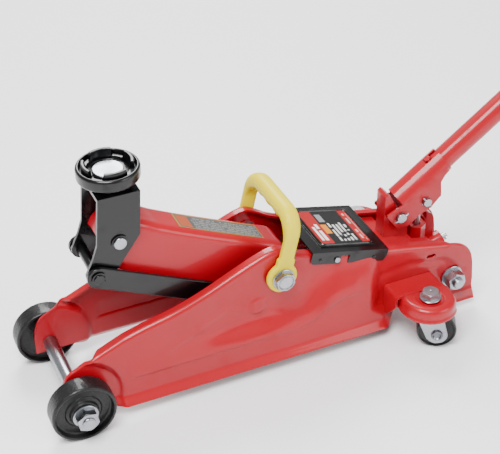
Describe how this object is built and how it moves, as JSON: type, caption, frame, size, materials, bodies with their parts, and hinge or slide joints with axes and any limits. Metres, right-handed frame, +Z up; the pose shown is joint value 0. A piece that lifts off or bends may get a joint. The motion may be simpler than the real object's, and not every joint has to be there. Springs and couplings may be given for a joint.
{
  "type": "hydraulic trolley jack",
  "caption": "Low hydraulic floor jack on two wheels and two casters, with a swivel saddle, folding carry handle and long pump handle.",
  "frame": {"origin": "middle of the footprint, on the floor", "axes": "+X from the front wheels towards the handle, +Y to the right-hand side plate seen from behind the front wheels, +Z up"},
  "size_m": [0.808, 0.21, 0.4337],
  "materials": {
    "red_paint": "gloss",
    "black_paint": "gloss",
    "yellow_plastic": "gloss",
    "black_grip": "matte",
    "wheel_iron": "cast, painted",
    "caster_black": "gloss",
    "turned_steel": "turned",
    "zinc_plate": "zinc plated"
  },
  "bodies": {
    "chassis": {"side_plate_left": "red_paint", "side_plate_right": "red_paint", "front_axle": "zinc_plate", "front_spacer_tube": "zinc_plate", "front_nut_left": "zinc_plate", "front_nut_right": "zinc_plate", "arm_shaft": "zinc_plate", "shaft_spacer_left": "turned_steel", "shaft_spacer_right": "turned_steel", "arm_nut_left": "zinc_plate", "arm_nut_right": "zinc_plate", "link_stud_left": "turned_steel", "link_stud_right": "turned_steel", "top_cover": "black_paint", "cover_screw_left": "zinc_plate", "cover_screw_right": "zinc_plate", "hydraulic_base": "red_paint", "cylinder": "turned_steel", "filler_plug": "zinc_plate", "pump_body": "red_paint", "tie_stud_left": "zinc_plate", "tie_stud_right": "zinc_plate", "tie_nut_left": "zinc_plate", "tie_nut_right": "zinc_plate", "caster_wing_left": "red_paint", "caster_wing_right": "red_paint", "swivel_bolt_left": "zinc_plate", "swivel_bolt_right": "zinc_plate"},
    "arm": {"lift_arm": "red_paint", "arm_front_pin": "zinc_plate", "roller_pin": "turned_steel"},
    "roller": {"push_roller": "turned_steel"},
    "links": {"link_bar_left": "black_paint", "link_bar_right": "black_paint", "link_rod": "black_paint"},
    "bracket": {"saddle_bracket": "black_paint"},
    "saddle": {"saddle_cup": "black_paint", "saddle_bolt": "zinc_plate", "saddle_nut": "zinc_plate"},
    "carry_grip": {"carry_handle": "yellow_plastic"},
    "ram": {"ram": "turned_steel"},
    "socket": {"handle_socket": "red_paint", "socket_pivot_pin": "zinc_plate", "pump_pin": "zinc_plate", "handle_lock_screw": "red_paint"},
    "handle": {"handle_lower": "red_paint", "handle_upper": "red_paint", "handle_cap": "black_grip"},
    "plunger": {"plunger": "turned_steel"},
    "valve": {"release_valve": "turned_steel"},
    "front_wheel_left": {"front_wheel_left": "wheel_iron"},
    "front_wheel_right": {"front_wheel_right": "wheel_iron"},
    "caster_left": {"caster_fork_left": "zinc_plate", "caster_axle_left": "zinc_plate"},
    "caster_right": {"caster_fork_right": "zinc_plate", "caster_axle_right": "zinc_plate"},
    "caster_wheel_left": {"caster_wheel_left": "caster_black"},
    "caster_wheel_right": {"caster_wheel_right": "caster_black"}
  },
  "joints": [
    {"name": "arm_lift", "type": "hinge", "parent": "chassis", "child": "arm", "pos_m": [-0.15819, 0, 0.1105], "axis": [0, 1, 0], "range_deg": [-42, 30]},
    {"name": "links_swing", "type": "hinge", "parent": "chassis", "child": "links", "pos_m": [-0.18219, 0, 0.08], "axis": [0, 1, 0], "range_deg": [-43, 31]},
    {"name": "bracket_level", "type": "hinge", "parent": "arm", "child": "bracket", "pos_m": [-0.31145, 0, 0.1836], "axis": [0, 1, 0], "range_deg": [-31, 43]},
    {"name": "saddle_swivel", "type": "hinge", "parent": "bracket", "child": "saddle", "pos_m": [-0.30945, 0, 0.2336], "axis": [0, 0, 1], "continuous": true},
    {"name": "roller_spin", "type": "hinge", "parent": "arm", "child": "roller", "pos_m": [-0.16258, 0, 0.06873], "axis": [0, 1, 0], "continuous": true},
    {"name": "ram_push", "type": "slide", "parent": "chassis", "child": "ram", "axis": [-1, 0, 0], "range_m": [-0.03, 0.022]},
    {"name": "carry_handle_swing", "type": "hinge", "parent": "chassis", "child": "carry_grip", "pos_m": [-0.15819, 0, 0.1105], "axis": [0, 1, 0], "range_deg": [-18, 50]},
    {"name": "socket_pump", "type": "hinge", "parent": "chassis", "child": "socket", "pos_m": [-0.00709, 0, 0.1161], "axis": [0, 1, 0], "range_deg": [-8, 40]},
    {"name": "plunger_stroke", "type": "slide", "parent": "chassis", "child": "plunger", "axis": [0, 0, 1], "range_m": [-0.0225, 0.0055]},
    {"name": "handle_pull", "type": "slide", "parent": "socket", "child": "handle", "axis": [0.8049, 0, 0.5934], "range_m": [0, 0.035]},
    {"name": "valve_turn", "type": "hinge", "parent": "chassis", "child": "valve", "pos_m": [0.02421, 0, 0.0512], "axis": [0.9455, 0, 0.3256], "range_deg": [0, 270]},
    {"name": "front_wheel_left_spin", "type": "hinge", "parent": "chassis", "child": "front_wheel_left", "pos_m": [-0.37219, -0.061, 0.032], "axis": [0, 1, 0], "continuous": true},
    {"name": "front_wheel_right_spin", "type": "hinge", "parent": "chassis", "child": "front_wheel_right", "pos_m": [-0.37219, 0.061, 0.032], "axis": [0, 1, 0], "continuous": true},
    {"name": "caster_left_swivel", "type": "hinge", "parent": "chassis", "child": "caster_left", "pos_m": [-0.00569, -0.0795, 0.05], "axis": [0, 0, 1], "continuous": true},
    {"name": "caster_right_swivel", "type": "hinge", "parent": "chassis", "child": "caster_right", "pos_m": [-0.00569, 0.0795, 0.05], "axis": [0, 0, 1], "continuous": true},
    {"name": "caster_left_spin", "type": "hinge", "parent": "caster_left", "child": "caster_wheel_left", "pos_m": [0.00226, -0.08372, 0.0205], "axis": [0.4695, 0.8829, 0], "continuous": true},
    {"name": "caster_right_spin", "type": "hinge", "parent": "caster_right", "child": "caster_wheel_right", "pos_m": [0.00226, 0.07527, 0.0205], "axis": [0.4695, 0.8829, 0], "continuous": true}
  ],
  "couplings": [
    {"joint": "links_swing", "follows": "arm_lift", "ratio": 1},
    {"joint": "bracket_level", "follows": "arm_lift", "ratio": -1},
    {"joint": "ram_push", "follows": "arm_lift", "m_per_rad": 0.039816},
    {"joint": "plunger_stroke", "follows": "socket_pump", "m_per_rad": -0.030367}
  ]
}
